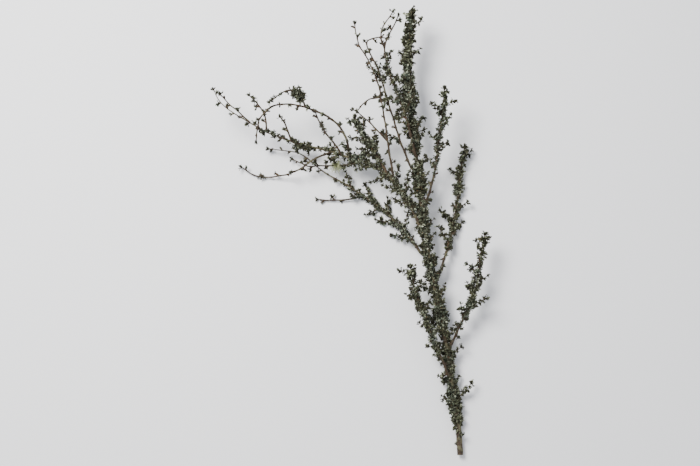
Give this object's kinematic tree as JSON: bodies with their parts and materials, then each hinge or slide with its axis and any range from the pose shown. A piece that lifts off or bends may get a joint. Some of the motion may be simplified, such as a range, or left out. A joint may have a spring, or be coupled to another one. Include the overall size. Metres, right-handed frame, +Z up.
{
  "type": "lichen-covered branch",
  "caption": "Cut leafless branch lying on its side, its stem sleeved in frilly grey-green lichen, with long curved side limbs, bud-knobbed twigs and single lichen tufts.",
  "frame": {"origin": "the bottom centre of the box of the branch as it lies on a flat surface", "axes": "+Y from the cut end of the stem towards its leading tip; +Z up from the surface that it lies on; the long side limb runs out towards -X"},
  "size_m": [0.4788, 0.7786, 0.117],
  "materials": {
    "bark": "rough dark olive-brown bark",
    "twig_bark": "rough brown young bark",
    "leaf_lichen": "matte grey-green, blackish underneath",
    "beard_lichen": "matte pale yellow-green threads"
  },
  "bodies": {
    "root": {"arch_rosette_lichen": "leaf_lichen", "arch_side_shoot": "twig_bark", "arch_tip_lichen": "leaf_lichen", "arching_twig": "twig_bark", "beard_lichen": "beard_lichen", "bent_side_shoot": "twig_bark", "bushy_twig": "twig_bark", "bushy_twig_lichen": "leaf_lichen", "cross_twig": "twig_bark", "fork_tip": "twig_bark", "forked_shoot": "twig_bark", "forked_shoot_lichen": "leaf_lichen", "hooked_shoot": "twig_bark", "hooked_shoot_lichen": "leaf_lichen", "inner_twig": "twig_bark", "inner_twig_lichen": "leaf_lichen", "knobbed_tip_lichen": "leaf_lichen", "knobbed_twig": "twig_bark", "left_limb": "bark", "left_limb_lichen_1": "leaf_lichen", "left_limb_lichen_2": "leaf_lichen", "left_limb_lichen_3": "leaf_lichen", "limb_junction_lichen": "leaf_lichen", "limb_twin_tip": "twig_bark", "low_spur_twig": "twig_bark", "lower_limb": "bark", "lower_limb_lichen_1": "leaf_lichen", "lower_limb_lichen_2": "leaf_lichen", "main_stem": "bark", "main_stem_lichen_1": "leaf_lichen", "main_stem_lichen_2": "leaf_lichen", "main_stem_lichen_3": "leaf_lichen", "main_stem_lichen_4": "leaf_lichen", "main_stem_lichen_5": "leaf_lichen", "main_stem_lichen_6": "leaf_lichen", "main_stem_lichen_7": "leaf_lichen", "main_stem_lichen_8": "leaf_lichen", "main_stem_lichen_9": "leaf_lichen", "middle_limb_lichen": "leaf_lichen", "outer_limb_lichen": "leaf_lichen", "right_lower_twig": "twig_bark", "right_lower_twig_lichen": "leaf_lichen", "right_twig": "twig_bark", "right_twig_lichen_1": "leaf_lichen", "right_twig_lichen_2": "leaf_lichen", "right_upper_twig": "twig_bark", "right_upper_twig_lichen": "leaf_lichen", "stem_side_twig": "twig_bark", "stem_side_twig_lichen": "leaf_lichen", "straight_side_shoot": "twig_bark", "sweeping_twig": "twig_bark", "sweeping_twig_lichen": "leaf_lichen", "tall_thin_shoot": "twig_bark", "tufted_tip_lichen": "leaf_lichen", "tufted_twig": "twig_bark"}
  },
  "joints": []
}
